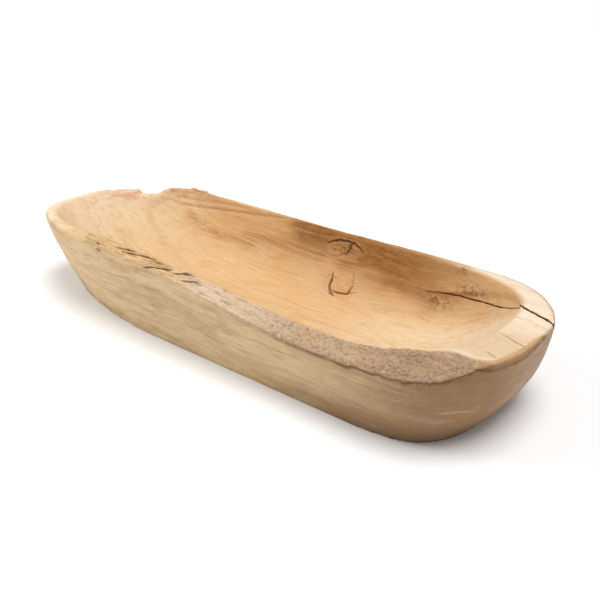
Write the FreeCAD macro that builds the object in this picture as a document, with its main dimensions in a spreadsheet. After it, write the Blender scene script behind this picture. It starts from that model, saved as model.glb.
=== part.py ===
import FreeCAD, Part
import math
import os
import Sketcher
from FreeCAD import Vector

# A long boat-shaped bowl carved from one split piece of teak root. The outside is worked smooth
# and flares from a flat foot to a rim that was sawn level, the inside is one long scoop, and the
# front rim keeps the slanting weathered skin of the root. Millimetres; +X is the blunt end, +Y the
# back, +Z up; the origin is on the ground under the middle of the bowl.

SIZES = (
    # The carved block: how far the foot and the top of the block reach from the origin.
    ("foot_right", 226.0), ("foot_left", 216.5), ("foot_front", 80.0), ("foot_back", 74.5),
    ("top_right", 253.0), ("top_left", 262.0), ("top_front", 90.5), ("top_back", 82.5),
    ("top_back_right", 86.0), ("block_height", 90.0), ("foot_ease", 2.0),
    # How quickly each wall flares above the foot: 1 is straight, more is rounder.
    ("bulge_right", 2.9), ("bulge_left", 1.7), ("bulge_side", 1.7),
    # The blunt right end and the narrower left end: half breadth of the nose, where its tip is,
    # and how far from the end its corners begin, at the foot and at the top.
    ("nose_right_front", 49.0), ("nose_right_back", 31.0), ("nose_left_front", 42.0),
    ("nose_left_back", 36.0), ("tip_right", 8.0), ("tip_left", -14.0), ("corner_run", 60.0),
    ("turn_right", 38.0), ("turn_left", 81.0), ("turn_left_back", 72.0),
    ("turn_right_foot", 26.0), ("turn_left_foot", 106.0),
    # The level of the sawn rim, and how far the rim stands above (+) or below (-) it at the left
    # end, along the front and along the back, before the back corner broke.
    ("rim_height", 72.0), ("rise_end_left", -4.0), ("rise_front_left", 5.0),
    ("rise_front_high", 8.0), ("rise_front_middle", 5.0), ("rise_back_left", -5.0),
    ("rise_back_high", 14.0),
    # The scoop: its floor, and the wall it leaves inside the top outline of the block.
    ("floor_thickness", 19.0), ("scoop_curve", 2.0), ("floor_right", 120.0),
    ("floor_left", 70.0), ("floor_front", 32.0), ("floor_back", 36.0), ("floor_turn", 40.0),
    ("floor_run", 25.0), ("floor_nose", 24.0), ("wall_right", 29.0), ("wall_left", 15.0),
    ("wall_front", 14.5), ("wall_front_left", 19.5), ("wall_back", 3.5),
    ("wall_back_right", 10.0), ("scoop_turn_right", 46.0), ("scoop_turn_left", 66.0),
    ("scoop_nose_right", 46.0), ("scoop_nose_left", 36.0),
    # The weathered edge: where it starts and ends along the front, how wide it is seen from
    # above, and at seven even stations its crest above the rim's level and its outward drop.
    ("edge_start", -240.0), ("edge_end", 260.0), ("edge_run", 16.5), ("edge_run_end", 40.5),
    ("crest_1", 3.0), ("crest_2", 6.5), ("crest_3", 4.5), ("crest_4", 0.5), ("crest_5", -8.0),
    ("crest_6", -6.5), ("crest_7", -4.5),
    ("drop_1", 2.0), ("drop_2", 2.5), ("drop_3", 3.5), ("drop_4", 8.5), ("drop_5", 9.5),
    ("drop_6", 9.5), ("drop_7", 12.0),
    # Where the back of the left end broke away, from the left end on: a notch, then a lump of
    # old surface. Heights are above (+) or below (-) the rim's level.
    ("notch_in", 45.0), ("notch_width", 18.0), ("notch_rise", -6.0), ("spike_rise", -1.0),
    ("lump_length", 47.0), ("lump_rise", 4.5), ("lump_slope", 5.0), ("broken_depth", 75.0),
)

# Levels at which the block's outline is drawn, from its top down, as shares of its height above
# the foot's eased edge.
BLOCK_LEVELS = (1.0, 0.62, 0.34, 0.14, 0.0)
# Steps out from the scoop's floor to its edge; the last one clears the rim.
SCOOP_STEPS = (0.0, 0.25, 0.5, 0.75, 1.0, 1.16)
EDGE_STATIONS = 7     # stations at which the weathered edge is drawn
CLEAR = 30.0          # how far a cutting shape stands outside the wood

doc = FreeCAD.newDocument("CarvedBowl")
sheet = doc.addObject("Spreadsheet::Sheet", "Sizes")
for row, (name, value) in enumerate(SIZES, start=1):
    sheet.set(f"A{row}", name)
    sheet.set(f"B{row}", str(value))
    sheet.setAlias(f"B{row}", name)
doc.recompute()


def origin_plane(body, role):
    return [item for item in body.Origin.OriginFeatures if item.Role == role][0]


def new_sketch(body, name, role, offset):
    """A sketch on one of the body's own origin planes, moved along the plane's normal."""
    sketch = body.newObject("Sketcher::SketchObject", name)
    sketch.AttachmentSupport = [(origin_plane(body, role), "")]
    sketch.MapMode = "FlatFace"
    sketch.setExpression("AttachmentOffset.Base.z", offset)
    return sketch


def pin_point(sketch, geometry, which, place):
    """Hold a point at two formulas, measured from the sketch's origin."""
    for kind, formula in zip(("DistanceX", "DistanceY"), place):
        index = sketch.addConstraint(Sketcher.Constraint(kind, -1, 1, geometry, which, 10.0))
        sketch.setExpression(f"Constraints[{index}]", formula)


def spline(sketch, start, places):
    """A cubic B-spline that ends on its first and last poles; its poles are held at formulas.

    places may be one short of start: then the last pole is left for the curve that follows.
    """
    curve = Part.BSplineCurve()
    inner = len(start) - 4
    curve.buildFromPolesMultsKnots(start, [4] + [1] * inner + [4], list(range(inner + 2)), False, 3)
    index = sketch.addGeometry(curve, False)
    circles = [sketch.addGeometry(Part.Circle(pole, Vector(0, 0, 1), 5), True) for pole in start]
    sketch.addConstraint([
        Sketcher.Constraint("InternalAlignment:Sketcher::BSplineControlPoint", circle, 3, index, pole)
        for pole, circle in enumerate(circles)])
    sketch.addConstraint(Sketcher.Constraint("Weight", circles[0], 1.0))
    for circle in circles[1:]:
        sketch.addConstraint(Sketcher.Constraint("Equal", circles[0], circle))
    for circle, place in zip(circles, places):
        pin_point(sketch, circle, 3, place)
    return index


def quarter(end, tip, nose, corner, straight, side, waist):
    """Seven poles from the tip of one end, round its corner, to the middle of one side."""
    return [(end, tip), (end, f"{tip} + ({nose}) / 3"), (end, f"{tip} + {nose}"),
            (corner, side), (straight, side), (f"({straight}) / 3", waist), ("0", waist)]


def boat_outline(body, name, height, reach, turn, nose, run="Sizes.corner_run"):
    """A level boat-shaped outline in four smooth quarters.

    reach holds how far each side stands out, turn how far from each end its corners begin, nose
    the half breadth of the ends and how far their tips stand off the middle line, and run the
    length in which a corner passes into the side.
    """
    right, left = reach["right"], f"-{reach['left']}"
    front, back = f"-{reach['front']}", reach["back"]
    back_right = reach.get("back_right", back)
    front_left = f"-{reach.get('front_left', reach['front'])}"
    turn_back = turn.get("left_back", turn["left"])
    from_right = f"{right} - {turn['right']}"
    right_back = quarter(right, nose["tip_right"], nose["right_back"], from_right,
                         f"{from_right} - {run}", back_right, back)
    left_back = quarter(left, nose["tip_left"], nose["left_back"], f"{left} + {turn_back}",
                        f"{left} + {turn_back} + {run}", back, back)
    left_front = quarter(left, nose["tip_left"], f"-{nose['left_front']}", f"{left} + {turn['left']}",
                         f"{left} + {turn['left']} + {run}", front_left, front)
    right_front = quarter(right, nose["tip_right"], f"-{nose['right_front']}", from_right,
                          f"{from_right} - {run}", front, front)
    sketch = new_sketch(body, name, "XY_Plane", height)
    curves = []
    for number, poles in enumerate((right_back, left_back[::-1], left_front, right_front[::-1])):
        turns = [math.pi / 2 * (number + step / 6) for step in range(7)]
        start = [Vector(200 * math.cos(angle), 80 * math.sin(angle), 0) for angle in turns]
        curves.append(spline(sketch, start, poles[:-1]))
    for curve, following in zip(curves, curves[1:] + curves[:1]):
        sketch.addConstraint(Sketcher.Constraint("Coincident", curve, 2, following, 1))
    return sketch


def loft(body, kind, name, sections):
    feature = body.newObject(kind, name)
    feature.Profile = sections[0]
    feature.Sections = sections[1:]
    feature.Ruled = False
    feature.Closed = False
    return feature


def level(rise):
    """A height measured from the rim's own level."""
    return f"(Sizes.rim_height + Sizes.{rise})"


def between(low, high, share):
    return f"({low} + ({high} - {low}) * {share})"


NOSES = ("right_front", "right_back", "left_front", "left_back")
TIPS = {"tip_right": "Sizes.tip_right", "tip_left": "Sizes.tip_left"}


def carve_block(body):
    """The outside: level outlines that swell from the foot to the top of the block."""
    sections = []
    nose = TIPS | {name: f"Sizes.nose_{name}" for name in NOSES}
    for number, height in enumerate(BLOCK_LEVELS, start=1):
        swell = {side: f"(1 - pow(1 - {height}; Sizes.bulge_{side}))" if height < 1 else "1"
                 for side in ("right", "left", "side")}
        reach = {side: between(f"Sizes.foot_{side}", f"Sizes.top_{side}", swell[wall])
                 for side, wall in (("right", "right"), ("left", "left"), ("front", "side"),
                                    ("back", "side"))}
        reach["back_right"] = between("Sizes.foot_back", "Sizes.top_back_right", swell["side"])
        turn = {
            "right": between("Sizes.turn_right_foot", "Sizes.turn_right", swell["right"]),
            "left": between("Sizes.turn_left_foot", "Sizes.turn_left", swell["left"]),
            "left_back": between("Sizes.turn_left_foot", "Sizes.turn_left_back", swell["left"])}
        place = between("Sizes.foot_ease", "Sizes.block_height", height)
        sections.append(boat_outline(body, f"BlockOutline{number}", place, reach, turn, nose))
    return loft(body, "PartDesign::AdditiveLoft", "Block", sections), sections[-1]


def ease_foot(body, outline):
    """The foot's edge is eased, so that the bowl doesn't splinter where it rests."""
    reach = {side: f"Sizes.foot_{side} - Sizes.foot_ease" for side in
             ("right", "left", "front", "back")}
    turn = {side: f"Sizes.turn_{side}_foot" for side in ("right", "left")}
    nose = TIPS | {name: f"Sizes.nose_{name}" for name in NOSES}
    resting = boat_outline(body, "RestingOutline", "0", reach, turn, nose)
    return loft(body, "PartDesign::AdditiveLoft", "FootEase", [outline, resting])


def saw_profile(body, name, offset, wave):
    """The waste above the rim, seen from the front: a wavy lower edge and a square top."""
    sketch = new_sketch(body, name, "XZ_Plane", offset)
    right, left = f"Sizes.top_right + {CLEAR}", f"-(Sizes.top_left + {CLEAR})"
    places = [(left, level("rise_end_left"))] + wave + [(right, "Sizes.rim_height")]
    start = [Vector(-260 + 100 * step, 70, 0) for step in range(len(places))]
    lower = spline(sketch, start, places)
    top = f"Sizes.block_height + {CLEAR}"
    corners = (start[-1], Vector(260, 110, 0), Vector(-260, 110, 0), start[0])
    lines = [sketch.addGeometry(Part.LineSegment(a, b), False) for a, b in zip(corners, corners[1:])]
    sketch.addConstraint([
        Sketcher.Constraint("Coincident", lower, 2, lines[0], 1),
        Sketcher.Constraint("Coincident", lines[0], 2, lines[1], 1),
        Sketcher.Constraint("Coincident", lines[1], 2, lines[2], 1),
        Sketcher.Constraint("Coincident", lines[2], 2, lower, 1)])
    pin_point(sketch, lines[0], 2, (right, top))
    pin_point(sketch, lines[1], 2, (left, top))
    return sketch


# The break at the back of the left end: where its notch and its lump begin, peak and end.
NOTCH_LEFT = "(Sizes.notch_in - Sizes.top_left)"
NOTCH_RIGHT = f"({NOTCH_LEFT} + Sizes.notch_width)"
LUMP_TOP = f"({NOTCH_RIGHT} + Sizes.lump_length * 0.75)"
LUMP_RIGHT = f"({NOTCH_RIGHT} + Sizes.lump_length)"


def saw_rim(body):
    front = [("-Sizes.top_left + Sizes.turn_left", level("rise_front_left")),
             ("-Sizes.top_left + 2 * Sizes.turn_left", level("rise_front_high")),
             ("0", level("rise_front_middle")),
             ("Sizes.top_right - Sizes.turn_right", "Sizes.rim_height")]
    back = [(f"{NOTCH_LEFT} - Sizes.lump_length / 3", level("rise_back_left")),
            (NOTCH_RIGHT, level("rise_back_high")),
            (LUMP_RIGHT, level("rise_back_high")),
            ("0", "Sizes.rim_height")]
    sections = [saw_profile(body, "SawFront", f"Sizes.top_front + {CLEAR}", front),
                saw_profile(body, "SawBack", f"-(Sizes.top_back + {CLEAR})", back)]
    return loft(body, "PartDesign::SubtractiveLoft", "SawnRim", sections)


def scoop_inside(body):
    """The hollow: level outlines that open from a small flat floor to the rim and past it."""
    depth = "(Sizes.rim_height - Sizes.floor_thickness)"
    sections = []
    for number, step in enumerate(SCOOP_STEPS, start=1):
        height = f"Sizes.floor_thickness + {depth} * pow({step}; Sizes.scoop_curve)" if step \
            else "Sizes.floor_thickness"
        reach = {side: between(f"Sizes.floor_{side}", f"(Sizes.top_{side} - Sizes.wall_{side})", step)
                 for side in ("right", "left", "front", "back")}
        reach["back_right"] = between(
            "Sizes.floor_back", "(Sizes.top_back_right - Sizes.wall_back_right)", step)
        reach["front_left"] = between(
            "Sizes.floor_front", "(Sizes.top_front - Sizes.wall_front_left)", step)
        turn = {end: between("Sizes.floor_turn", f"Sizes.scoop_turn_{end}", step)
                for end in ("right", "left")}
        nose = TIPS | {name: between("Sizes.floor_nose", f"Sizes.scoop_nose_{name.split('_')[0]}",
                                     step) for name in NOSES}
        run = between("Sizes.floor_run", "Sizes.corner_run", step)
        sections.append(
            boat_outline(body, f"ScoopOutline{number}", height, reach, turn, nose, run))
    return loft(body, "PartDesign::SubtractiveLoft", "Scoop", sections)


def edge_profile(body, number, share, run):
    """The waste outside the root's own skin at one station along the front."""
    place = f"Sizes.edge_start + (Sizes.edge_end - Sizes.edge_start) * {share}"
    sketch = new_sketch(body, f"EdgeProfile{number}", "YZ_Plane", place)
    slope = f"Sizes.drop_{number} / Sizes.edge_run"
    crest = level(f"crest_{number}")
    outer, inner = f"-(Sizes.top_front + {CLEAR})", f"-(Sizes.top_front - {run} - {CLEAR})"
    low = f"{crest} - {slope} * ({run} + {CLEAR})"
    high = f"{crest} + {slope} * {CLEAR}"
    top = f"Sizes.block_height + {2 * CLEAR}"
    places = ((outer, low), (inner, high), (inner, top), (outer, top))
    corners = (Vector(-120, 50, 0), Vector(-50, 80, 0), Vector(-50, 110, 0), Vector(-120, 110, 0))
    lines = [sketch.addGeometry(Part.LineSegment(corners[side], corners[(side + 1) % 4]), False)
             for side in range(4)]
    for side, line in enumerate(lines):
        sketch.addConstraint(
            Sketcher.Constraint("Coincident", line, 2, lines[(side + 1) % 4], 1))
        pin_point(sketch, line, 1, places[side])
    return sketch


def weather_edge(body):
    runs = ["Sizes.edge_run"] * (EDGE_STATIONS - 1) + ["Sizes.edge_run_end"]
    sections = [edge_profile(body, number + 1, number / (EDGE_STATIONS - 1), run)
                for number, run in enumerate(runs)]
    return loft(body, "PartDesign::SubtractiveLoft", "WeatheredEdge", sections)


def break_corner(body):
    """The back of the left end, seen from the front: all above the ragged line is gone."""
    sketch = new_sketch(body, "BrokenLine", "XZ_Plane", f"-(Sizes.top_back + {CLEAR})")
    left, top = f"-Sizes.top_left - {CLEAR}", f"Sizes.block_height + {CLEAR}"
    tooth = "Sizes.notch_width * 0.2"
    places = (
        (left, "Sizes.rim_height"),
        (f"{NOTCH_LEFT} - {tooth}", level("spike_rise")),
        (NOTCH_LEFT, level("notch_rise")),
        (NOTCH_RIGHT, f"{level('notch_rise')} + 1"),
        (f"{NOTCH_RIGHT} + {tooth} / 2", f"{level('lump_rise')} - 4"),
        (LUMP_TOP, level("lump_rise")),
        (LUMP_RIGHT, f"{level('lump_rise')} - 3"),
        (f"{LUMP_RIGHT} + Sizes.lump_slope", "Sizes.rim_height"),
        ("Sizes.top_right", "Sizes.rim_height + 1"),
        ("Sizes.top_right", top),
        (left, top))
    count = len(places)
    corners = [Vector(-250 + 20 * step, 60 + 5 * (step % 2), 0) for step in range(count - 2)]
    corners += [Vector(-90, 120, 0), Vector(-250, 120, 0)]
    lines = [sketch.addGeometry(Part.LineSegment(corners[side], corners[(side + 1) % count]), False)
             for side in range(count)]
    for side, line in enumerate(lines):
        sketch.addConstraint(
            Sketcher.Constraint("Coincident", line, 2, lines[(side + 1) % count], 1))
        pin_point(sketch, line, 1, places[side])
    pocket = body.newObject("PartDesign::Pocket", "BrokenCorner")
    pocket.Profile = sketch
    pocket.setExpression("Length", f"Sizes.broken_depth + {CLEAR}")
    pocket.Reversed = True
    return pocket


bowl = doc.addObject("PartDesign::Body", "BowlBody")
bowl.Label = "bowl_body"
block, foot_outline = carve_block(bowl)
steps = [ease_foot(bowl, foot_outline), saw_rim(bowl), scoop_inside(bowl), weather_edge(bowl),
         break_corner(bowl)]
doc.recompute()

# Each step after the foot takes wood away, so its volume has to fall.
volumes = [step.Shape.Volume for step in steps]
for step, before, after in zip(steps[1:], volumes, volumes[1:]):
    if not before - after > 1.0:
        raise RuntimeError(f"{step.Name} took nothing away")
broken = [item.Name for item in doc.Objects if {"Invalid", "Error"} & set(item.State)]
if broken:
    raise RuntimeError(f"failed objects: {broken}")
if bowl.Shape.isNull() or not bowl.Shape.isValid() or len(bowl.Shape.Solids) != 1:
    raise RuntimeError("the bowl is not one sound solid")

# The bowl stands with the middle of its bounding box over the origin.
box = bowl.Shape.optimalBoundingBox()
bowl.Placement = FreeCAD.Placement(Vector(-box.Center.x, -box.Center.y, -box.ZMin),
                                   FreeCAD.Rotation())
doc.recompute()

os.makedirs("parts", exist_ok=True)
bowl.Shape.exportStep(f"parts/{bowl.Label}.step")
print("shift", box.Center.x, box.Center.y)
print("volume cm3", round(bowl.Shape.Volume / 1000, 1), "box", bowl.Shape.optimalBoundingBox())
print("steps", [(step.Name, round(volume / 1000, 1)) for step, volume in zip(steps, volumes)])
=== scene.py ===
import math
import bpy
import bmesh
import numpy as np
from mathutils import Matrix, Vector, noise
from mathutils.bvhtree import BVHTree
from mathutils.kdtree import KDTree


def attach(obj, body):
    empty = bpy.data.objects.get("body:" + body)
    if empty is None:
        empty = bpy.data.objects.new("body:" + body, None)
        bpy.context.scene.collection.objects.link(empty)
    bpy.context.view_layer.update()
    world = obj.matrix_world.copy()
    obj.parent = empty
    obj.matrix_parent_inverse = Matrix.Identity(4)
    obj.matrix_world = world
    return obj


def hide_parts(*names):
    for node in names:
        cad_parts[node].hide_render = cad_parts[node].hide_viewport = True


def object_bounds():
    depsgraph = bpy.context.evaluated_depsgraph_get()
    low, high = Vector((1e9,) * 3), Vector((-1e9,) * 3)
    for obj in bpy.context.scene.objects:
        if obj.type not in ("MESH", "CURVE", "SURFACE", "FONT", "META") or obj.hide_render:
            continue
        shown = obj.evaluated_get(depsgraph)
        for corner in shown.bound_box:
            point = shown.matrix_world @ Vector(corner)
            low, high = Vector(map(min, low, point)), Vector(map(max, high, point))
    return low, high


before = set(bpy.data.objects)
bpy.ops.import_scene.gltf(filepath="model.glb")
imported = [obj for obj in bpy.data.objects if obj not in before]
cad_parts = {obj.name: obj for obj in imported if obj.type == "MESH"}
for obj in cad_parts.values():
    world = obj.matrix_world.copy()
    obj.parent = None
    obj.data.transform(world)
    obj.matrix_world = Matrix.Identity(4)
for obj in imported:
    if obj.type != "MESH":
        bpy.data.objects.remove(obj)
cad_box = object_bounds()

# ---------------------------------------------------------------- the bowl
# One long slab of teak root, adzed and sanded smooth inside and out. The front rim keeps the
# root's own weathered skin, the back left corner has broken away, and the wood has checked as
# it dried: one long crack through the blunt end, and small ones round two knots.
MM = 0.001
VOXEL = 2.6 * MM          # the even mesh that the carving is worked in
EDGE_KEEP = 0.6 * MM      # points nearer than this to the carved form go back onto it,
RIM_KEEP = 1.5 * MM       # and nearer than this to its level rim
FOOT_KEEP = 1.3 * MM      # points nearer than this to the foot's corner go onto it


def smooth(low, high, value):
    """0 below low, 1 above high, and an even S between them."""
    share = np.clip((value - low) / (high - low), 0.0, 1.0)
    return share * share * (3.0 - 2.0 * share)


def line_distance(places, path):
    """How far each place is from a line of points, and how far along the line (0 to 1)."""
    path = np.array(path) * MM
    lengths = np.linalg.norm(np.diff(path, axis=0), axis=1)
    before = np.concatenate([[0.0], np.cumsum(lengths)])
    best = np.full(len(places), 9.0)
    along = np.zeros(len(places))
    for start, end, length, walked in zip(path, path[1:], lengths, before):
        share = np.clip((places - start) @ (end - start) / length ** 2, 0.0, 1.0)
        away = np.linalg.norm(places - start - share[:, None] * (end - start), axis=1)
        nearer = away < best
        best[nearer] = away[nearer]
        along[nearer] = (walked + share[nearer] * length) / before[-1]
    return best, along


def speckle(places, stretch, octaves=3, seed=0.0):
    """Noise from about -1 to 1 at each place; stretch is its grain in mm along X, Y and Z."""
    scaled = places / MM / np.array(stretch) + seed
    return np.array([noise.fractal(Vector(place), 0.7, 2.0, octaves) for place in scaled])


# Cracks and gashes: a line of places in mm, its half width and depth in mm, and how dark it is.
CRACKS = {
    "end_check_inside": ([(129, 67, 47), (145, 67, 50), (160, 67, 52), (180, 63, 55),
                          (200, 55, 60), (211, 49, 65), (220, 43.5, 71)], 0.75, 2.4, 0.85),
    "end_check_rim": ([(220, 43.5, 72), (238, 37, 72), (254, 31, 72), (254.5, 31, 65)],
                      1.2, 4.0, 1.0),
    "end_check_small": ([(228, -5, 72), (242, -10, 72), (253, -14, 71)], 0.6, 1.6, 0.7),
    "end_check_corner": ([(233, -35, 72), (242, -39, 71)], 0.6, 1.2, 0.6),
    "upper_knot_arc": ([(14, 76, 58), (20, 77, 62), (28, 78, 65), (36, 78, 66), (45, 78, 65),
                        (52, 77, 62), (57, 75, 58)], 1.5, 1.5, 0.74),
    "upper_knot_split": ([(43, 78, 65), (41, 77, 62), (40, 75, 58), (37, 73, 54)], 1.1, 1.2, 0.74),
    "upper_knot_split_2": ([(33, 76, 60), (37, 75, 57), (44, 75, 57), (50, 75, 58)], 0.8, 0.7, 0.42),
    "upper_knot_swirl": ([(13, 72, 52), (22, 71, 50), (31, 72, 51), (36, 74, 55), (33, 76, 60),
                          (25, 76, 60), (20, 74, 56)], 0.9, 0.6, 0.34),
    "lower_knot_left": ([(31, 64, 38), (32, 59, 32), (33, 55, 27), (37, 51, 24), (43, 49, 23)],
                        1.7, 1.4, 0.66),
    "lower_knot_bottom": ([(36, 53, 25), (43, 53, 25), (50, 53, 26), (54, 54, 26), (56, 60, 33)],
                          1.2, 1.1, 0.66),
    "lower_knot_right": ([(56, 60, 33), (54, 64, 39), (50, 67, 44)], 0.9, 0.6, 0.36),
    "lower_knot_tail": ([(52, 53, 26), (58, 56, 28), (65, 57, 30)], 0.8, 0.5, 0.42),
    "gash_1": ([(-99, -80, 76), (-88, -77, 77), (-78, -75, 77)], 1.1, 1.4, 0.6),
    "gash_2": ([(-90, -81, 75), (-74, -79, 76), (-60, -75, 76)], 1.3, 2.4, 0.64),
    "gash_3": ([(-64, -77, 75), (-48, -74, 76)], 0.9, 1.2, 0.55),
    "gash_4": ([(-56, -79, 75), (-41, -75, 75)], 1.1, 1.7, 0.58),
    "gash_5": ([(-56, -87, 71), (-44, -82, 73), (-30, -78, 74)], 1.2, 1.9, 0.6),
    "gash_6": ([(-27, -81, 72), (-15, -78, 73), (-4, -75, 74)], 1.2, 1.9, 0.6),
    "gash_7": ([(-16, -84, 70), (2, -78, 72)], 0.8, 1.0, 0.45),
    "gash_8": ([(-122, -82, 77), (-117, -84, 76)], 1.3, 1.0, 0.5),
    "gash_9": ([(-117, -87, 72), (-112, -88, 71)], 1.3, 1.0, 0.45),
    "flake_line": ([(-203, 57, 65), (-187, 58, 64), (-176, 62, 62), (-159, 67, 60),
                    (-136, 74, 60), (-97, 78, 63), (-60, 80, 67), (-30, 81, 70)], 2.2, 0.4, 0.24),
    "flake_line_2": ([(-186, 64, 68), (-150, 73, 66), (-118, 79, 67), (-80, 81, 69)],
                     1.9, 0.35, 0.18),
    "flake_line_3": ([(-168, 73, 71), (-138, 78, 71), (-110, 81, 71)], 1.7, 0.3, 0.16),
}

carved = bmesh.new()
carved.from_mesh(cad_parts["bowl_body"].data)
bmesh.ops.remove_doubles(carved, verts=carved.verts, dist=0.01 * MM)
surface = BVHTree.FromBMesh(carved)


def along_edges(wanted):
    """Close places along every edge of the carved form that is wanted, for finding the nearest."""
    found = []
    for edge in carved.edges:
        start, end = (vert.co.copy() for vert in edge.verts)
        if wanted(start, end, sorted(face.normal.z for face in edge.link_faces)):
            found += [start.lerp(end, step / 12) for step in range(13)]
    tree = KDTree(len(found))
    for number, place in enumerate(found):
        tree.insert(place, number)
    tree.balance()
    return tree


# The rim's outer corner at the blunt end, from which its wear is measured further on, and the
# corner where the walls turn in to the foot.
rim_corner = along_edges(lambda start, end, ups: ups[0] < 0.5 and ups[-1] > 0.9 and start.x > 0.19
                         and min(start.z, end.z) > 0.06)
foot_corner = along_edges(lambda start, end, ups: max(start.z, end.z) < 0.004 < 1.0 + min(ups)
                          and abs(start.z - end.z) < 0.0001 < min(start.z, end.z)
                          and ups[0] < ups[-1] - 0.2)
blank = bpy.data.meshes.new("blank")
carved.to_mesh(blank)
carved.free()
worked = bpy.data.objects.new("worked", blank)
bpy.context.scene.collection.objects.link(worked)
even = worked.modifiers.new("even", "REMESH")
even.mode = "VOXEL"
even.voxel_size = VOXEL
graph = bpy.context.evaluated_depsgraph_get()
evened = bpy.data.meshes.new_from_object(worked.evaluated_get(graph))
bpy.data.objects.remove(worked)

shell = bmesh.new()
shell.from_mesh(evened)


def neighbours_mean(values):
    """The mean of each point's value and its neighbours' values."""
    ends = np.array([[edge.verts[0].index, edge.verts[1].index] for edge in shell.edges])
    total, count = values.copy(), np.ones(len(values))
    for here, there in (ends.T, ends.T[::-1]):
        np.add.at(total, here, values[there])
        np.add.at(count, here, 1.0)
    return total / (count if values.ndim == 1 else count[:, None])


# The points are laid on the carved form, and the voxels' steps are evened out, each shrinking
# step followed by a swelling one.
places = np.array([surface.find_nearest(point.co)[0] for point in shell.verts])
for _ in range(3):
    for share in (0.6, -0.62):
        places = places + share * (neighbours_mean(places) - places)
for point, place in zip(shell.verts, places):
    spot, normal, _, away = surface.find_nearest(Vector(place))
    point.co = spot if away < (RIM_KEEP if normal.z > 0.9 else EDGE_KEEP) else place

# Hands and sandpaper have rounded every corner a little, most of all round the narrow end and
# where the hollow runs out onto the rim at the front of the blunt end.
places = np.array([point.co for point in shell.verts])
facing = np.array([surface.find_nearest(Vector(place))[1] for place in places])
turned = smooth(0.08, 0.3, np.linalg.norm(facing - neighbours_mean(facing), axis=1))
near_corner = np.clip(2.0 * neighbours_mean(turned), 0.0, 1.0)[:, None]
for _ in range(4):
    for share in (0.6, -0.62):
        places = places + share * near_corner * (neighbours_mean(places) - places)
x, y, z = (places / MM).T
hollow_side = (x < 224.0) & (y < 20.0) & (np.abs(y) < 62.0)
soft = (z > 60.0) * (smooth(-150.0, -170.0, x) + smooth(150.0, 170.0, x) * hollow_side)
soft = np.clip(neighbours_mean(neighbours_mean(turned * soft)) * 3.0, 0.0, 1.0)
soft = np.maximum(soft, smooth(12.0, 8.0, z))[:, None]
for step in range(12):
    places = places + 0.5 * soft * (neighbours_mean(places) - places)
    if step in (2, 5, 8, 11):
        for number in np.flatnonzero(z < 10.0):
            places[number] = surface.find_nearest(Vector(places[number]))[0]
            spot, _, away = foot_corner.find(places[number])
            if away < FOOT_KEEP:
                places[number] = spot
for point, place in zip(shell.verts, places):
    point.co = place


# The noise takes its offsets from the clock unless it is given a seed.
noise.seed_set(7)
WAVER = 0.45              # how far in mm a crack's line strays from the places given for it
CRACK_STEP = 3.0          # how far apart in mm a crack's places are laid


def laid(path):
    """The line's places at even steps, set down on the carved form with a slight waver."""
    stops = [Vector(place) * MM for place in path]
    laid_places = []
    for start, end in zip(stops, stops[1:]):
        count = max(1, round((end - start).length / (CRACK_STEP * MM)))
        for step in range(count + (end is stops[-1])):
            place = start.lerp(end, step / count)
            waver = noise.noise_vector(place / MM * 0.22) * WAVER * MM
            laid_places.append(tuple(surface.find_nearest(place + waver)[0] / MM))
    return laid_places


CRACKS = {name: (laid(path), *rest) for name, (path, *rest) in CRACKS.items()}


def faces_met(places):
    """For each place 1 or 0: on the root's slanting skin, on the outer wall, on the sawn rim."""
    skin, outer, rim = [], [], []
    for place in places:
        spot, normal, _, _ = surface.find_nearest(Vector(place))
        slanting = normal.y < -0.07 and normal.z > 0.55 and spot.y < -0.035 and spot.z > 0.05
        skin.append(slanting and spot.x > -0.14)
        outward = normal.x * spot.x + 4.0 * normal.y * spot.y > 0.0
        outer.append(normal.z < -0.5 or (normal.z < 0.45 and outward))
        rim.append(normal.z > 0.9 and spot.z > 0.066 and not slanting)
    return np.array([skin, outer, rim], float)


# The mesh is made finer where the wood is rough: the weathered edge, the break and the cracks.
for reach, shallow in ((4.0, 0.0), (2.6, 0.7), (1.5, 0.9)):
    centres = np.array([face.calc_center_median() for face in shell.faces])
    wanted = np.zeros(len(centres), bool)
    for path, _, deep, _ in CRACKS.values():
        if deep > shallow:
            wanted |= line_distance(centres, path)[0] < reach * MM
    if reach > 2.0:
        wanted |= faces_met(centres)[0] > 0.5
        x, y, z = (centres / MM).T
        wanted |= (x > -225) & (x < -140) & (y > 40) & (z > 67)
    shell.faces.ensure_lookup_table()
    edges = {edge for index in np.flatnonzero(wanted) for edge in shell.faces[index].edges}
    bmesh.ops.subdivide_edges(shell, edges=list(edges), cuts=1, use_grid_fill=True)
shell.normal_update()

places = np.array([point.co for point in shell.verts])
normals = np.array([point.normal for point in shell.verts])
x, y, z = (places / MM).T
up = normals[:, 2]


def spread(values, rounds):
    """Each point's value evened out with its neighbours' a number of times."""
    for _ in range(rounds):
        values = neighbours_mean(values)
    return values


# Slow unevenness that a hand tool leaves on every face but the sawn rim and the foot.
level_rim = smooth(0.85, 0.97, up) * smooth(70.0, 71.5, z)
inside = smooth(0.05, 0.3, up) * (1.0 - level_rim)
outside = smooth(0.4, 0.3, up) * smooth(2.0, 8.0, z)
worked_faces = np.maximum(inside, outside)
depth = 0.35 * speckle(places, (70, 22, 22)) * worked_faces
depth += 0.12 * speckle(places, (30, 5, 5), seed=4.0) * worked_faces

# Above the long crack at the blunt end the back wall swells, so that the crack lies in a crease.
crease, _ = line_distance(places, CRACKS["end_check_inside"][0])
crease_height = 47.0 + 24.0 * smooth(125.0, 228.0, x)
above = smooth(crease_height - 1.5, crease_height + 1.5, z) * (y > 20) * (x > 90) * inside
swell = np.exp(-(crease / MM / 13.0) ** 2) * smooth(105.0, 165.0, x)
depth += 2.6 * above * swell

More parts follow.
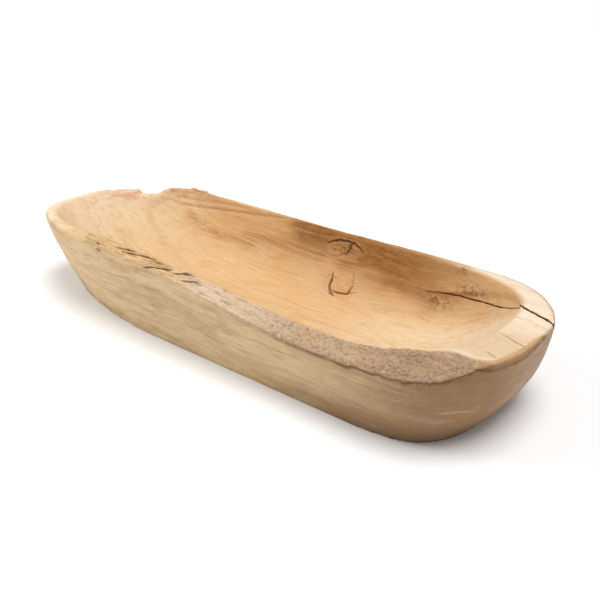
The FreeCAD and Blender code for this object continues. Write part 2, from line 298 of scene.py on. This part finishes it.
# The weathered edge: drawn out furrows at the narrow end, coarse pits towards the blunt one.
skin, outer, rim = faces_met(places)
# At the blunt end's front corner the skin reaches in over the sawn rim and falls away outwards.
CREST = np.array([(176, -73), (184, -68), (197, -62.5), (206, -55.5), (214, -51.5), (222, -49),
                  (232, -48.5), (240, -47), (246, -44)])
outwards = np.interp(x, *CREST.T) - y + 1.5 * speckle(places, (9, 9, 9), 2, 5.5)
corner_part = (outwards > 0.0) & (up > 0.4) & (z > 64.0) & (x > 178.0) & (x < 244.0)
skin = np.maximum(skin, corner_part)
skin, outer, rim = (spread(found, 3) for found in (skin, outer, rim))
sunk = smooth(-1.0, 10.0, outwards) * (1.0 - smooth(14.0, 26.0, outwards))
depth -= 2.2 * sunk * smooth(184.0, 200.0, x) * smooth(248.0, 240.0, x) * (z > 60.0) * (y < 0.0)
rough = np.flatnonzero(skin > 0.02)
furrows = speckle(places[rough], (16, 3.0, 3.0), 4, 11.0)
pits = speckle(places[rough], (2.5, 2.0, 2.0), 3, 23.0)
coarse = smooth(20.0, 130.0, x[rough])
patchy = 0.55 + 0.45 * speckle(places[rough], (18, 7, 7), 2, 93.0)
worn = 0.7 * (1.0 - coarse) * furrows + (0.2 + 1.1 * coarse) * patchy * np.clip(pits, -0.8, 0.4)
wave = 0.9 * speckle(places[rough], (28, 9, 9), 2, 31.0)
depth[rough] += skin[rough] * (worn + wave)
cavity = np.zeros(len(places))
cavity[rough] = skin[rough] * smooth(0.1, -0.7, pits * coarse * patchy + furrows * (1.0 - coarse))

# The lower border of the skin stands proud of the worked wall, which is cut back a little there.
brink = skin * outer * 4.0 * smooth(-30.0, 60.0, x)
depth += brink * (0.5 + 0.6 * speckle(places, (12, 5, 5), 2, 83.0))
under = np.clip(spread(skin, 6) - skin, 0.0, 0.3) / 0.3 * outer * smooth(-30.0, 60.0, x)
depth -= 0.8 * under
under = spread(under, 4)

# The break at the back of the narrow end is torn along the grain.
torn = smooth(-228.0, -218.0, x) * smooth(-138.0, -150.0, x) * smooth(45.0, 55.0, y) \
    * smooth(66.0, 70.0, z)
split = np.flatnonzero(torn > 0.02)
layers = speckle(places[split], (34, 8, 2.4), 3, 47.0)
depth[split] += torn[split] * 0.9 * np.clip(layers, -0.8, 0.3)
cavity[split] = np.maximum(cavity[split], torn[split] * 0.7 * smooth(0.0, -0.5, layers))

# A ragged tooth of skin stands up on the crest between the gashes and the smoother edge.
tooth = np.exp(-((x + 14.0) / 9.0) ** 2 - ((y + 74.0) / 6.0) ** 2) * smooth(66.0, 71.0, z)
lift = 3.2 * tooth * (0.8 + 0.4 * speckle(places, (5, 3, 3), 2, 71.0))

# The outer corner of the rim is worn to a slanting band along the front of the blunt end.
worn_width = 4.5 * smooth(222.0, 243.0, x) * smooth(42.0, -20.0, y) * smooth(-75.0, -60.0, y)
chamfer = np.zeros(len(places))
for number in np.flatnonzero(worn_width * (z > 55.0) > 0.1):
    away = rim_corner.find(places[number])[2] / MM
    chamfer[number] = max(0.0, worn_width[number] - away) / 2.0
worn_corner = spread(smooth(0.1, 0.8, chamfer), 1)

# Two lines of browner wood lead in along the back wall from the narrow end.
LEADS = [(-163, 63, 57), (-146, 61, 49), (-130, 60, 43), (-106, 63, 40), (-73, 65, 40)], \
    [(-94, 69, 46), (-61, 70, 47), (-24, 70, 48), (11, 70, 47)]
lead = np.zeros(len(places))
for path in LEADS:
    away, along = line_distance(places, path)
    lead = np.maximum(lead, np.exp(-(away / MM / (3.5 + 3.0 * along)) ** 2) * smooth(0.0, 0.15, along))

# Cracks are cut along the normal, with ragged sides and ends that run out to nothing. Their
# darkness is full out to the core and gone at the fringe, in shares of the half width.
check = np.zeros(len(places))
cut = np.zeros(len(places))
for name, (path, half, deep, dark) in CRACKS.items():
    away, along = line_distance(places, path)
    close = np.flatnonzero(away < 3.0 * half * MM)
    ragged = 1.0 + 0.45 * speckle(places[close], (4, 2, 2), 2, 59.0)
    taper = np.sqrt(np.clip(np.minimum(along[close], 1.0 - along[close]) * 4.0, 0.0, 1.0))
    core, fringe = 0.3, 1.1
    if name == "end_check_inside":
        taper = np.clip(along[close] * 3.0 + 0.3, 0.0, 1.0)
    if name == "end_check_rim":
        taper = np.ones(len(close))
        core, fringe = 0.8, 1.35
    gap = away[close] / MM / half / ragged / (0.45 + 0.55 * taper)
    cut[close] = np.maximum(cut[close], deep * taper * (1.0 - smooth(0.15, 1.0, gap)))
    shade = dark * (0.4 + 0.6 * taper) * (1.0 - smooth(core, fringe, gap))
    check[close] = np.maximum(check[close], shade)
depth -= cut

moved = places + normals * (depth * MM)[:, None]
moved[:, 2] += (lift - chamfer) * MM
inwards = -places * [1.0, 2.0, 0.0]
moved += inwards / np.linalg.norm(inwards, axis=1)[:, None] * (chamfer * MM)[:, None]
low, high = (np.array(corner) for corner in cad_box)
moved = np.clip(moved, low, high)
for point, place in zip(shell.verts, moved):
    point.co = place

bowl_mesh = bpy.data.meshes.new("bowl")
shell.normal_update()
shell.to_mesh(bowl_mesh)
shell.free()
for name, values in (("skin", skin), ("outer", outer), ("rim", rim), ("torn", torn),
                     ("check", check), ("cavity", cavity), ("worn_corner", worn_corner),
                     ("lead", lead), ("under", under)):
    layer = bowl_mesh.attributes.new(name, "FLOAT", "POINT")
    layer.data.foreach_set("value", values.astype(np.float32))
for face in bowl_mesh.polygons:
    face.use_smooth = True
bowl = bpy.data.objects.new("bowl", bowl_mesh)
bpy.context.scene.collection.objects.link(bowl)


class Tone:
    """One socket of the wood's node tree; sums on it add Math nodes."""

    tree = None

    def __init__(self, socket):
        self.socket = socket

    @classmethod
    def node(cls, kind, inputs, out=0, **settings):
        """Adds a node: its settings first, then the values or links of its sockets."""
        made = cls.tree.nodes.new(kind)
        for name, value in settings.items():
            setattr(made, name, value)
        for key, value in inputs.items():
            if isinstance(value, Tone):
                cls.tree.links.new(value.socket, made.inputs[key])
            else:
                made.inputs[key].default_value = value
        return cls(made.outputs[out])

    def math(self, operation, other=0.0):
        return Tone.node("ShaderNodeMath", {0: self, 1: other}, operation=operation)

    def __add__(self, other):
        return self.math("ADD", other)

    __radd__ = __add__

    def __mul__(self, other):
        return self.math("MULTIPLY", other)

    __rmul__ = __mul__

    def __sub__(self, other):
        return self.math("SUBTRACT", other)

    def __rsub__(self, other):
        return Tone.node("ShaderNodeMath", {0: other, 1: self}, operation="SUBTRACT")

    def __pow__(self, other):
        return self.math("POWER", other)

    def rise(self, low, high):
        """0 below low and 1 above high, with a smooth step between them."""
        return Tone.node("ShaderNodeMapRange", {"Value": self, "From Min": low, "From Max": high},
                         interpolation_type="SMOOTHSTEP")


def blend(share, first, second):
    """Two colours mixed by a share; each is a Tone or three numbers."""
    first, second = (colour if isinstance(colour, Tone) else (*colour, 1.0)
                     for colour in (first, second))
    return Tone.node("ShaderNodeMix", {0: share, 6: first, 7: second}, 2,
                     data_type="RGBA", blend_type="MIX", clamp_factor=True)


def tinted(red, green, blue):
    """A colour given as seen (0 to 255) as the light values that a shader takes."""
    return tuple(((part / 255 + 0.055) / 1.055) ** 2.4 for part in (red, green, blue))


# Teak root: honey coloured and pale near the rim and the narrow end, brown round the knots, with
# long streaks along the grain. The skin of the root has weathered to a greyish beige.
HONEY = tinted(216, 178, 130)
PALE = tinted(224, 198, 162)
STREAK = tinted(194, 142, 82)
BROWN = tinted(150, 94, 30)
OUTER_PALE = tinted(222, 194, 152)
OUTER_BROWN_AND_SHADE = tinted(157, 123, 91)
SAWN_AND_HIGHLIGHT = tinted(246, 226, 202)
GREY_SKIN = tinted(184, 151, 121)
PIT = tinted(132, 100, 74)
CRACK_DARK = tinted(58, 38, 26)

wood = bpy.data.materials.new("teak_root_oiled")
wood.use_nodes = True
tree = wood.node_tree
tree.nodes.clear()
Tone.tree = tree
where = Tone.node("ShaderNodeTexCoord", {}, out="Object")
# The material works in millimetres.
place = Tone.node("ShaderNodeVectorMath", {0: where, "Scale": 1.0 / MM}, operation="SCALE")
parts = tree.nodes.new("ShaderNodeSeparateXYZ")
tree.links.new(place.socket, parts.inputs[0])
px, py, pz = (Tone(parts.outputs[axis]) for axis in range(3))


def mottle(stretch, detail=2.0, rough=0.55, shift=0.0, base=place):
    """Noise from 0 to 1; stretch is its grain in mm along X, Y and Z."""
    spread = Tone.node("ShaderNodeVectorMath", {0: base, 1: tuple(1.0 / part for part in stretch),
                                                2: (shift, shift, shift)},
                       operation="MULTIPLY_ADD")
    return Tone.node("ShaderNodeTexNoise", {"Vector": spread, "Scale": 1.0, "Detail": detail,
                                            "Roughness": rough}, noise_dimensions="3D")


def attribute(name):
    return Tone.node("ShaderNodeAttribute", {}, out="Fac", attribute_name=name)


def nearness(centre, spread):
    """1 at a place and falling away over a spread in mm along X, Y and Z."""
    offset = Tone.node("ShaderNodeVectorMath", {0: place, 1: centre}, operation="SUBTRACT")
    scaled = Tone.node("ShaderNodeVectorMath", {0: offset, 1: tuple(1.0 / part for part in spread)},
                       operation="MULTIPLY")
    away = Tone.node("ShaderNodeVectorMath", {0: scaled}, out="Value", operation="LENGTH")
    return Tone.node("ShaderNodeMath", {0: away * away * -1.0}, operation="EXPONENT")


knot_upper = nearness((36, 77, 59), (19, 16, 9))
knot_lower = nearness((42, 58, 31), (16, 13, 12))
# The fibres run along the slab, swaying a little and swinging round the knots; the year rings lie
# about a pith behind and below it.
sway = (mottle((150, 60, 60), 1.0) - 0.5) * 26.0 + (mottle((50, 22, 22), 1.0, 0.5, 3.0) - 0.5) * 5.0
swing = knot_upper * (pz - 59.0) * 0.8 + knot_lower * (pz - 31.0) * 0.8
fibres = Tone.node("ShaderNodeCombineXYZ", {0: px, 1: py + sway * 0.6, 2: pz + sway - swing})
ring = (((py - 150.0) ** 2.0 + (pz + 60.0) ** 2.0) ** 0.5 + sway * 1.6 + 0.05 * px
        + 12.0 * knot_upper + 16.0 * knot_lower)
layers = Tone.node("ShaderNodeCombineXYZ", {0: px, 1: ring, 2: (pz - py) * 0.1})

bands = mottle((190, 8, 8), 2.0, 0.5, base=layers)
streaks = mottle((70, 3.2, 3.2), 3.0, 0.6, 5.0, fibres)
fibre = mottle((18, 0.8, 0.8), 2.0, 0.65, 9.0, fibres)
level_streaks = mottle((60, 34, 3.2), 3.0, 0.6, 7.0, fibres)
pores = mottle((6, 0.8, 0.8), 1.0, 0.5, 13.0, fibres).rise(0.60, 0.74)
cloud = mottle((75, 32, 32), 3.0, 0.55, 17.0)
blotch = mottle((24, 10, 10), 3.0, 0.6, 19.0)

# Inside: honey, paler at both ends, with brown heartwood high on the back wall that begins
# abruptly where it was cut across, and a streak of it that leads in from the narrow end.
pale = px.rise(-90.0, -220.0) * 0.62 + px.rise(30.0, 170.0) * py.rise(66.0, 30.0) * 0.95
inner = blend(pale + (cloud - 0.5) * 0.7, HONEY, PALE)
inner = blend(py.rise(35.0, 65.0) * px.rise(-60.0, -20.0) * 0.2 + (blotch - 0.5) * 0.5,
              inner, tinted(219, 170, 110))
inner = blend(bands.rise(0.48, 0.70) * 0.30, inner, STREAK)
inner = blend(blotch.rise(0.50, 0.70) * 0.40, inner, tinted(216, 162, 108))
inner = blend(px.rise(60.0, 200.0) * py.rise(60.0, 20.0) * 0.5 + px.rise(-175.0, -240.0) * 0.6, inner,
              tinted(234, 208, 176))
golden = py.rise(45.0, 75.0) * pz.rise(30.0, 50.0) * px.rise(-150.0, -110.0) * px.rise(0.0, -40.0)
inner = blend(golden * 0.55, inner, tinted(222, 174, 114))
wander = (cloud - 0.5) * 20.0 + (bands - 0.5) * 26.0 + (blotch - 0.5) * 12.0
heart_line = 60.0 - 18.0 * px.rise(-30.0, 60.0) - 4.0 * px.rise(90.0, 150.0) + wander
heart = (pz - heart_line).rise(-9.0, 12.0) * py.rise(30.0, 55.0)
heart = heart * (px + (blotch - 0.5) * 22.0 + (pz - 66.0) * -0.5).rise(-40.0, -18.0)
heart = heart * (1.0 - 0.80 * px.rise(70.0, 185.0))
lead = attribute("lead") * (0.55 + (streaks - 0.5) * 2.0)
heart = heart * (0.84 + 0.50 * streaks.rise(0.35, 0.7)) + lead * 0.8
inner = blend(heart, inner, BROWN)
dark_heart = nearness((84, 78, 62), (32, 26, 9)) * 0.7 + nearness((-8, 78, 62), (26, 20, 13)) * 1.8
inner = blend(dark_heart * 0.5 * blotch.rise(0.2, 0.6), inner, tinted(134, 84, 34))
inner = blend(heart * mottle((9, 5, 3), 4.0, 0.7, 37.0).rise(0.42, 0.66) * 0.4, inner,
              tinted(196, 144, 84))
inner = blend(streaks.rise(0.5, 0.70) * 0.40, inner, STREAK)
inner = blend(streaks.rise(0.48, 0.28) * (0.20 - heart * 0.14), inner, tinted(240, 206, 160))

# The knots: the upper one a swirl of brown wisps, the lower one ringed, each with darker specks.
wisps = mottle((6, 6, 3.0), 3.0, 0.7, 41.0)
inner = blend(knot_upper.rise(0.15, 0.6) * wisps.rise(0.33, 0.5) * 0.7, inner, tinted(206, 156, 104))
inner = blend(knot_upper.rise(0.25, 0.8) * wisps.rise(0.47, 0.60) * 0.85, inner, tinted(110, 68, 38))
rings = Tone.node("ShaderNodeMath", {0: knot_lower * 20.0 + blotch * 14.0}, operation="SINE")
inner = blend(knot_lower.rise(0.08, 0.4) * rings.rise(0.1, 0.9) * 0.20, inner, tinted(170, 116, 70))

# Outside: khaki sapwood that turns to a greyer brown at the blunt end, with painted shade on its front
# corner there, and pales again past it, where a painted light is laid on the far end.
# Greyer brown towards the blunt end, partly the wood's tone and partly painted shade on the front
# corner.
outer = blend((px + (cloud - 0.5) * 120.0).rise(80.0, 225.0), OUTER_PALE, OUTER_BROWN_AND_SHADE)
# Painted light: the far end past the blunt end's corner is made paler, as if lit from behind.
outer = blend(px.rise(228.0, 252.0) * py.rise(-45.0, -8.0) * 0.5, outer, tinted(206, 176, 150))
outer = blend(px.rise(-150.0, -235.0) * 0.4, outer, tinted(190, 158, 116))
outer = blend(bands.rise(0.46, 0.68) * 0.30, outer, tinted(160, 124, 84))
outer = blend((cloud + blotch - 1.0).rise(0.0, 0.35) * 0.45, outer, tinted(182, 144, 92))
outer = blend(mottle((34, 14, 9), 3.0, 0.65, 83.0).rise(0.48, 0.66) * 0.32, outer, tinted(172, 136, 88))
outer = blend(level_streaks.rise(0.50, 0.70) * 0.36, outer, tinted(150, 114, 78))
outer = blend(level_streaks.rise(0.44, 0.28) * 0.30, outer,
              tinted(232, 206, 166))
# Painted shade: the outer wall darkens towards the foot along the blunt end.
outer = blend(pz.rise(30.0, 2.0) * px.rise(40.0, 200.0) * 0.65, outer, tinted(112, 82, 58))

body = blend(attribute("outer").rise(0.15, 0.55), inner, outer)
# The sawn rim is paler at the narrow end and at the back of the blunt end; at the back of the blunt end
# this is partly a painted highlight.
sawn = attribute("rim").rise(0.2, 0.95) * (
    px.rise(70.0, 190.0) * (0.15 + 0.8 * py.rise(-25.0, 40.0)) + px.rise(-150.0, -235.0) * 0.55)
body = blend(sawn * (0.95 - 0.45 * streaks.rise(0.4, 0.7)), body, SAWN_AND_HIGHLIGHT)
handled = attribute("rim").rise(0.3, 0.9) * px.rise(205.0, 232.0) * py.rise(12.0, -14.0)
body = blend(handled * 0.35, body, tinted(204, 168, 134))
redden = px.rise(-110.0, -150.0) * py.rise(-5.0, 25.0) * pz.rise(52.0, 66.0)
body = blend(redden * mottle((9, 22, 5), 2.0, 0.6, 53.0).rise(0.46, 0.62) * 0.55, body,
             tinted(204, 142, 104))
body = blend(fibre.rise(0.48, 0.78) * 0.26, body, tinted(164, 116, 72))
body = blend(fibre.rise(0.46, 0.22) * 0.20, body, tinted(248, 222, 184))
body = blend(pores * 0.22, body, tinted(134, 92, 56))

# The root's skin: greyish beige and granular; yellower and only furrowed at the narrow end.
skin_mask = attribute("skin") + (blotch - 0.5) * 0.30
grain = mottle((3.0, 2.0, 2.0), 4.0, 0.75, 29.0)
weather = blend(grain.rise(0.42, 0.62), tinted(198, 168, 139), GREY_SKIN)
weather = blend(px.rise(130.0, 20.0) * 0.75, weather, tinted(232, 208, 182))
weather = blend(px.rise(120.0, 210.0) * 0.7, weather, tinted(160, 130, 103))
weather = blend(mottle((14, 7, 7), 3.0, 0.6, 33.0).rise(0.48, 0.62) * 0.45, weather,
                tinted(200, 162, 118))
weather = blend(grain.rise(0.50, 0.66) * (px.rise(20.0, 90.0) * 0.28 + px.rise(110.0, 190.0) * 0.3),
                weather, tinted(118, 90, 68))
weather = blend(px.rise(10.0, -40.0) * 0.85, weather, tinted(222, 190, 142))
weather = blend(grain.rise(0.42, 0.30) * 0.55, weather, tinted(234, 212, 186))
# Painted highlight: a pale line along the inner edge of the skin's crest.
crest_highlight = attribute("skin").rise(0.0, 0.12) * attribute("skin").rise(0.5, 0.2) * px.rise(40.0, 90.0)
body = blend(crest_highlight * attribute("outer").rise(0.2, 0.05) * 0.5, body, tinted(240, 216, 182))
# The wall just under the skin's proud border is darkened to a mottled brown, partly painted shade under
# the overhang and partly a brown tint of the wood.
body = blend(attribute("under") * mottle((26, 9, 6), 3.0, 0.6, 79.0).rise(0.35, 0.65) * 0.7, body,
             tinted(168, 124, 78))
body = blend(skin_mask.rise(0.30, 0.8) * (0.9 - 0.5 * px.rise(-10.0, -60.0)), body, weather)
# Painted shadow: a dark brown line along the lower border of the skin, where it overhangs the wall.
seam_shadow = attribute("skin").rise(0.02, 0.25) * attribute("skin").rise(0.7, 0.35) \
    * attribute("outer").rise(0.25, 0.6) * px.rise(20.0, 140.0) * blotch.rise(0.2, 0.5)
body = blend(seam_shadow * 0.8, body, tinted(112, 76, 50))
body = blend(attribute("cavity") * grain.rise(0.3, 0.6) * 0.6, body, PIT)
body = blend(attribute("torn") * mottle((30, 6, 1.4), 2.0, 0.6, 21.0, fibres).rise(0.5, 0.7) * 0.4, body,
             tinted(150, 104, 64))
body = blend(attribute("torn") * pz.rise(73.0, 77.0) * wisps.rise(0.42, 0.6) * 0.7, body,
             tinted(128, 98, 68))
gashed = nearness((-62, -78, 75), (48, 9, 8)) * mottle((16, 2.6, 2.6), 3.0, 0.65, 71.0).rise(0.44, 0.62)
body = blend(gashed * 0.75, body, tinted(182, 138, 98))
puckered = nearness((-114, -80, 74), (20, 11, 9)) * mottle((7, 3, 2.4), 3.0, 0.65, 73.0).rise(0.42, 0.6)
body = blend(puckered * 0.55, body, tinted(180, 148, 92))

# Worn corner and cracks: a tan polished band, and clefts that darken inwards.
worn = attribute("worn_corner")
body = blend(worn.rise(0.0, 0.5) * attribute("rim").rise(0.2, 0.7) * 0.75, body, tinted(206, 158, 108))
body = blend(worn.rise(0.1, 0.6) * attribute("outer").rise(0.3, 0.7) * 0.6, body,
             tinted(142, 108, 76))
body = blend(worn.rise(0.04, 0.2) * worn.rise(0.75, 0.4) * attribute("outer").rise(0.2, 0.6)
             * blotch.rise(0.35, 0.55) * 0.6, body, tinted(100, 72, 50))
check = attribute("check")
body = blend(check.rise(0.02, 0.45) * 0.6, body, tinted(128, 84, 56))
body = blend(check.rise(0.45, 0.95) * 0.9, body, CRACK_DARK)
stain = nearness((141, 66, 43), (14, 16, 6)) + nearness((170, 68, 59), (16, 10, 5)) \
    + nearness((155, 77, 70), (5, 8, 5))
body = blend(stain * mottle((3.5, 2.5, 2.5), 4.0, 0.75, 61.0).rise(0.44, 0.56) * 0.75, body,
             tinted(116, 76, 54))

bump_height = (fibre * 0.14 + pores * -0.10 + streaks * 0.10 + attribute("skin") * grain * 1.4
               + stain * mottle((3, 2, 2), 2.0, 0.6, 67.0) * 1.2)
bumped = Tone.node("ShaderNodeBump", {"Height": bump_height, "Strength": 0.7, "Distance": 1.0 * MM},
                   out="Normal")
sheen = 0.58 + (fibre - 0.5) * 0.2 + attribute("skin") * 0.35
shader = Tone.node("ShaderNodeBsdfPrincipled", {"Base Color": body, "Roughness": sheen,
                                                "Normal": bumped, "Specular IOR Level": 0.2})
finish = tree.nodes.new("ShaderNodeOutputMaterial")
tree.links.new(shader.socket, finish.inputs["Surface"])
bowl_mesh.materials.append(wood)
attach(bowl, "root")
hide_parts("bowl_body")

# ---------------------------------------------------------------- floor, light and camera
# A white sweep on a table, lit by a broad overhead light and a large softbox to the left.
floor_mesh = bpy.data.meshes.new("floor")
slab = bmesh.new()
bmesh.ops.create_grid(slab, x_segments=1, y_segments=1, size=9.0)
slab.to_mesh(floor_mesh)
slab.free()
floor = bpy.data.objects.new("floor", floor_mesh)
bpy.context.scene.collection.objects.link(floor)
paper = bpy.data.materials.new("white_paper")
paper.use_nodes = True
tree = paper.node_tree
tree.nodes.clear()
Tone.tree = tree
seen = Tone.node("ShaderNodeLightPath", {}, out="Is Camera Ray")
diffuse = Tone.node("ShaderNodeBsdfDiffuse", {"Color": (0.9, 0.9, 0.9, 1.0)})
glow = Tone.node("ShaderNodeEmission", {"Color": (1.0, 1.0, 1.0, 1.0), "Strength": seen * 0.03})
both = Tone.node("ShaderNodeAddShader", {0: diffuse, 1: glow})
finish = tree.nodes.new("ShaderNodeOutputMaterial")
tree.links.new(both.socket, finish.inputs["Surface"])
floor_mesh.materials.append(paper)

world = bpy.data.worlds.new("studio")
bpy.context.scene.world = world
world.use_nodes = True
tree = world.node_tree
tree.nodes.clear()
Tone.tree = tree
seen = Tone.node("ShaderNodeLightPath", {}, out="Is Camera Ray")
level = 0.37 + seen * 0.63
sky = Tone.node("ShaderNodeBackground", {"Color": (1.0, 1.0, 1.0, 1.0), "Strength": level})
finish = tree.nodes.new("ShaderNodeOutputWorld")
tree.links.new(sky.socket, finish.inputs["Surface"])


def lamp(name, kind, strength, spot, target, **settings):
    light = bpy.data.lights.new(name, kind)
    light.energy = strength
    for key, value in settings.items():
        setattr(light, key, value)
    holder = bpy.data.objects.new(name, light)
    bpy.context.scene.collection.objects.link(holder)
    holder.location = spot
    holder.rotation_euler = (Vector(target) - Vector(spot)).to_track_quat("-Z", "Y").to_euler()
    return holder


lamp("overhead", "SUN", 2.27, (0.22, 0.17, 1.40), (0.0, 0.0, 0.0), angle=math.radians(38))
lamp("softbox_left", "AREA", 6.2, (-0.95, -0.55, 0.75), (-0.05, 0.0, 0.03), shape="RECTANGLE",
     size=0.7, size_y=0.6)

AIM = Vector((35.8, 8.6, 32.3)) * MM
DISTANCE = 702.2 * MM
TURN, TILT = math.radians(38.7), math.radians(26.6)
outward = Vector((math.sin(TURN) * math.cos(TILT), -math.cos(TURN) * math.cos(TILT), math.sin(TILT)))
lens = bpy.data.cameras.new("camera")
lens.sensor_width = 36.0
lens.lens = 48.0
camera = bpy.data.objects.new("camera", lens)
bpy.context.scene.collection.objects.link(camera)
camera.location = AIM + outward * DISTANCE
camera.rotation_euler = outward.to_track_quat("Z", "Y").to_euler()
bpy.context.scene.camera = camera
bpy.context.scene.view_settings.view_transform = "Standard"
